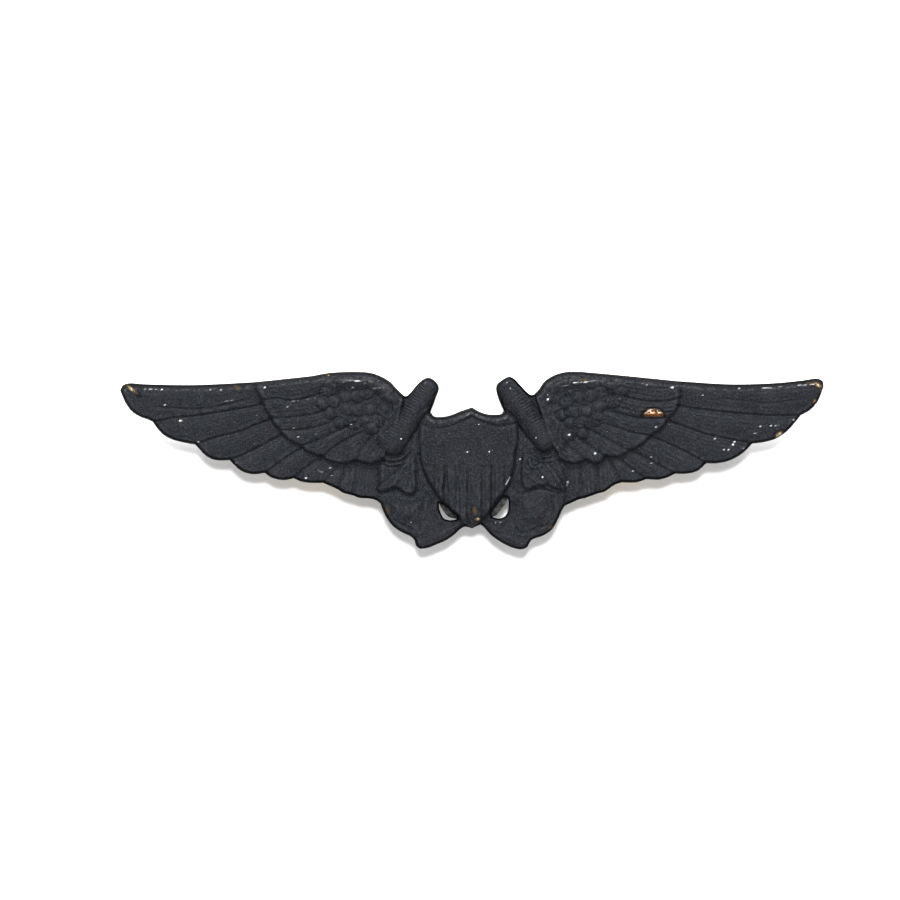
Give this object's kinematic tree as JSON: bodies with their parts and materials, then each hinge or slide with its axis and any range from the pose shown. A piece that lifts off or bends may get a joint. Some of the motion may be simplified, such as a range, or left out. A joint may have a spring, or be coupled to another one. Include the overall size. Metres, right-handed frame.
{
  "type": "pilot wings pin",
  "caption": "Die-struck pair of feathered wings with a fluted shield on crossed anchor rods, pinned through cloth by sharp posts and squeeze-to-release butterfly clutches.",
  "frame": {"origin": "centre of the part's footprint, on the plane the clutch ears stand on", "axes": "+X along the span to the right wing as seen from the front, +Y to the top edge, +Z out of the badge's face"},
  "size_m": [0.077, 0.0194, 0.0085],
  "materials": {
    "black_paint": "matt blue-black paint over brass, worn through at a few edges",
    "brass": "satin",
    "nickel": "satin"
  },
  "bodies": {
    "badge": {"wings_badge": "black_paint", "post_foot_left": "brass", "post_foot_right": "brass", "post_left": "nickel", "post_right": "nickel"},
    "clutch_left": {"clutch_base_left": "brass", "clutch_shell_left": "brass"},
    "clutch_right": {"clutch_base_right": "brass", "clutch_shell_right": "brass"},
    "lever_left_upper": {"clutch_lever_left_upper": "brass"},
    "lever_left_lower": {"clutch_lever_left_lower": "brass"},
    "lever_right_upper": {"clutch_lever_right_upper": "brass"},
    "lever_right_lower": {"clutch_lever_right_lower": "brass"}
  },
  "joints": [
    {"name": "clutch_left_slide", "type": "slide", "parent": "badge", "child": "clutch_left", "axis": [0, 0, -1], "range_m": [0, 0.009]},
    {"name": "clutch_right_slide", "type": "slide", "parent": "badge", "child": "clutch_right", "axis": [0, 0, -1], "range_m": [0, 0.009]},
    {"name": "lever_left_upper_squeeze", "type": "hinge", "parent": "clutch_left", "child": "lever_left_upper", "pos_m": [-0.016, 0.0067, 0.004], "axis": [-1, 0, 0], "range_deg": [0, 12], "stiffness_Nm_per_rad": 0.01},
    {"name": "lever_left_lower_squeeze", "type": "hinge", "parent": "clutch_left", "child": "lever_left_lower", "pos_m": [-0.016, 0.0001, 0.004], "axis": [1, 0, 0], "range_deg": [0, 12], "stiffness_Nm_per_rad": 0.01},
    {"name": "lever_right_upper_squeeze", "type": "hinge", "parent": "clutch_right", "child": "lever_right_upper", "pos_m": [0.016, 0.0067, 0.004], "axis": [-1, 0, 0], "range_deg": [0, 12], "stiffness_Nm_per_rad": 0.01},
    {"name": "lever_right_lower_squeeze", "type": "hinge", "parent": "clutch_right", "child": "lever_right_lower", "pos_m": [0.016, 0.0001, 0.004], "axis": [1, 0, 0], "range_deg": [0, 12], "stiffness_Nm_per_rad": 0.01}
  ],
  "couplings": [
    {"joint": "lever_left_lower_squeeze", "follows": "lever_left_upper_squeeze", "ratio": 1},
    {"joint": "lever_right_lower_squeeze", "follows": "lever_right_upper_squeeze", "ratio": 1}
  ]
}
